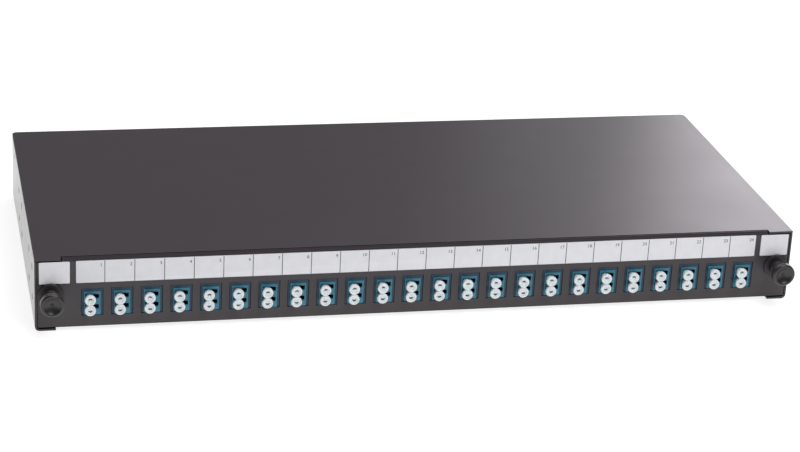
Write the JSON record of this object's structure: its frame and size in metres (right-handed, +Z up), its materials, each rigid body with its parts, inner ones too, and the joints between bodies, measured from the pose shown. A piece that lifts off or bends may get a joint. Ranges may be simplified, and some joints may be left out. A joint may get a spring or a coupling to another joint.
{
  "type": "patch panel",
  "caption": "Low rack-mount sliding patch panel for fibre: steel box, front drawer with a row of duplex adapters, dust caps, label strip and plunger latches.",
  "frame": {"origin": "centre of the housing's bottom face", "axes": "+X to the right along the row of adapters, seen from the front; +Y back, away from the adapters; +Z up"},
  "size_m": [0.44, 0.2378, 0.043],
  "materials": {
    "coat": "semi-gloss black powder coat with a fine texture",
    "label": "smooth satin white label stock",
    "zinc": "zinc-plated sheet, satin",
    "cassette": "moulded dark grey plastic",
    "knob": "smooth glossy black nylon",
    "gland": "matte black nylon",
    "adapter": "moulded aqua plastic, satin gloss",
    "cap": "smooth translucent white plastic"
  },
  "bodies": {
    "housing_body": {"housing": "coat", "top_cover": "coat", "slide_rail_left": "zinc", "slide_rail_right": "zinc", "cable_gland_left": "gland", "cable_gland_right": "gland"},
    "drawer": {"front_panel": "coat", "label_strip": "label", "drawer_tray": "zinc", "splice_cassette": "cassette", "lc_adapter_01": "adapter", "lc_adapter_02": "adapter", "lc_adapter_03": "adapter", "lc_adapter_04": "adapter", "lc_adapter_05": "adapter", "lc_adapter_06": "adapter", "lc_adapter_07": "adapter", "lc_adapter_08": "adapter", "lc_adapter_09": "adapter", "lc_adapter_10": "adapter", "lc_adapter_11": "adapter", "lc_adapter_12": "adapter", "lc_adapter_13": "adapter", "lc_adapter_14": "adapter", "lc_adapter_15": "adapter", "lc_adapter_16": "adapter", "lc_adapter_17": "adapter", "lc_adapter_18": "adapter", "lc_adapter_19": "adapter", "lc_adapter_20": "adapter", "lc_adapter_21": "adapter", "lc_adapter_22": "adapter", "lc_adapter_23": "adapter", "lc_adapter_24": "adapter"},
    "plunger_left": {"plunger_left": "knob"},
    "plunger_right": {"plunger_right": "knob"},
    "cap_01": {"dust_cap_01": "cap"},
    "cap_02": {"dust_cap_02": "cap"},
    "cap_03": {"dust_cap_03": "cap"},
    "cap_04": {"dust_cap_04": "cap"},
    "cap_05": {"dust_cap_05": "cap"},
    "cap_06": {"dust_cap_06": "cap"},
    "cap_07": {"dust_cap_07": "cap"},
    "cap_08": {"dust_cap_08": "cap"},
    "cap_09": {"dust_cap_09": "cap"},
    "cap_10": {"dust_cap_10": "cap"},
    "cap_11": {"dust_cap_11": "cap"},
    "cap_12": {"dust_cap_12": "cap"},
    "cap_13": {"dust_cap_13": "cap"},
    "cap_14": {"dust_cap_14": "cap"},
    "cap_15": {"dust_cap_15": "cap"},
    "cap_16": {"dust_cap_16": "cap"},
    "cap_17": {"dust_cap_17": "cap"},
    "cap_18": {"dust_cap_18": "cap"},
    "cap_19": {"dust_cap_19": "cap"},
    "cap_20": {"dust_cap_20": "cap"},
    "cap_21": {"dust_cap_21": "cap"},
    "cap_22": {"dust_cap_22": "cap"},
    "cap_23": {"dust_cap_23": "cap"},
    "cap_24": {"dust_cap_24": "cap"}
  },
  "joints": [
    {"name": "drawer_slide", "type": "slide", "parent": "housing_body", "child": "drawer", "axis": [0, -1, 0], "range_m": [0, 0.15]},
    {"name": "plunger_left_pull", "type": "slide", "parent": "drawer", "child": "plunger_left", "axis": [0, -1, 0], "range_m": [0, 0.006]},
    {"name": "plunger_right_pull", "type": "slide", "parent": "drawer", "child": "plunger_right", "axis": [0, -1, 0], "range_m": [0, 0.006]},
    {"name": "cap_01_pull", "type": "slide", "parent": "drawer", "child": "cap_01", "axis": [0, -1, 0], "range_m": [0, 0.012]},
    {"name": "cap_02_pull", "type": "slide", "parent": "drawer", "child": "cap_02", "axis": [0, -1, 0], "range_m": [0, 0.012]},
    {"name": "cap_03_pull", "type": "slide", "parent": "drawer", "child": "cap_03", "axis": [0, -1, 0], "range_m": [0, 0.012]},
    {"name": "cap_04_pull", "type": "slide", "parent": "drawer", "child": "cap_04", "axis": [0, -1, 0], "range_m": [0, 0.012]},
    {"name": "cap_05_pull", "type": "slide", "parent": "drawer", "child": "cap_05", "axis": [0, -1, 0], "range_m": [0, 0.012]},
    {"name": "cap_06_pull", "type": "slide", "parent": "drawer", "child": "cap_06", "axis": [0, -1, 0], "range_m": [0, 0.012]},
    {"name": "cap_07_pull", "type": "slide", "parent": "drawer", "child": "cap_07", "axis": [0, -1, 0], "range_m": [0, 0.012]},
    {"name": "cap_08_pull", "type": "slide", "parent": "drawer", "child": "cap_08", "axis": [0, -1, 0], "range_m": [0, 0.012]},
    {"name": "cap_09_pull", "type": "slide", "parent": "drawer", "child": "cap_09", "axis": [0, -1, 0], "range_m": [0, 0.012]},
    {"name": "cap_10_pull", "type": "slide", "parent": "drawer", "child": "cap_10", "axis": [0, -1, 0], "range_m": [0, 0.012]},
    {"name": "cap_11_pull", "type": "slide", "parent": "drawer", "child": "cap_11", "axis": [0, -1, 0], "range_m": [0, 0.012]},
    {"name": "cap_12_pull", "type": "slide", "parent": "drawer", "child": "cap_12", "axis": [0, -1, 0], "range_m": [0, 0.012]},
    {"name": "cap_13_pull", "type": "slide", "parent": "drawer", "child": "cap_13", "axis": [0, -1, 0], "range_m": [0, 0.012]},
    {"name": "cap_14_pull", "type": "slide", "parent": "drawer", "child": "cap_14", "axis": [0, -1, 0], "range_m": [0, 0.012]},
    {"name": "cap_15_pull", "type": "slide", "parent": "drawer", "child": "cap_15", "axis": [0, -1, 0], "range_m": [0, 0.012]},
    {"name": "cap_16_pull", "type": "slide", "parent": "drawer", "child": "cap_16", "axis": [0, -1, 0], "range_m": [0, 0.012]},
    {"name": "cap_17_pull", "type": "slide", "parent": "drawer", "child": "cap_17", "axis": [0, -1, 0], "range_m": [0, 0.012]},
    {"name": "cap_18_pull", "type": "slide", "parent": "drawer", "child": "cap_18", "axis": [0, -1, 0], "range_m": [0, 0.012]},
    {"name": "cap_19_pull", "type": "slide", "parent": "drawer", "child": "cap_19", "axis": [0, -1, 0], "range_m": [0, 0.012]},
    {"name": "cap_20_pull", "type": "slide", "parent": "drawer", "child": "cap_20", "axis": [0, -1, 0], "range_m": [0, 0.012]},
    {"name": "cap_21_pull", "type": "slide", "parent": "drawer", "child": "cap_21", "axis": [0, -1, 0], "range_m": [0, 0.012]},
    {"name": "cap_22_pull", "type": "slide", "parent": "drawer", "child": "cap_22", "axis": [0, -1, 0], "range_m": [0, 0.012]},
    {"name": "cap_23_pull", "type": "slide", "parent": "drawer", "child": "cap_23", "axis": [0, -1, 0], "range_m": [0, 0.012]},
    {"name": "cap_24_pull", "type": "slide", "parent": "drawer", "child": "cap_24", "axis": [0, -1, 0], "range_m": [0, 0.012]}
  ]
}
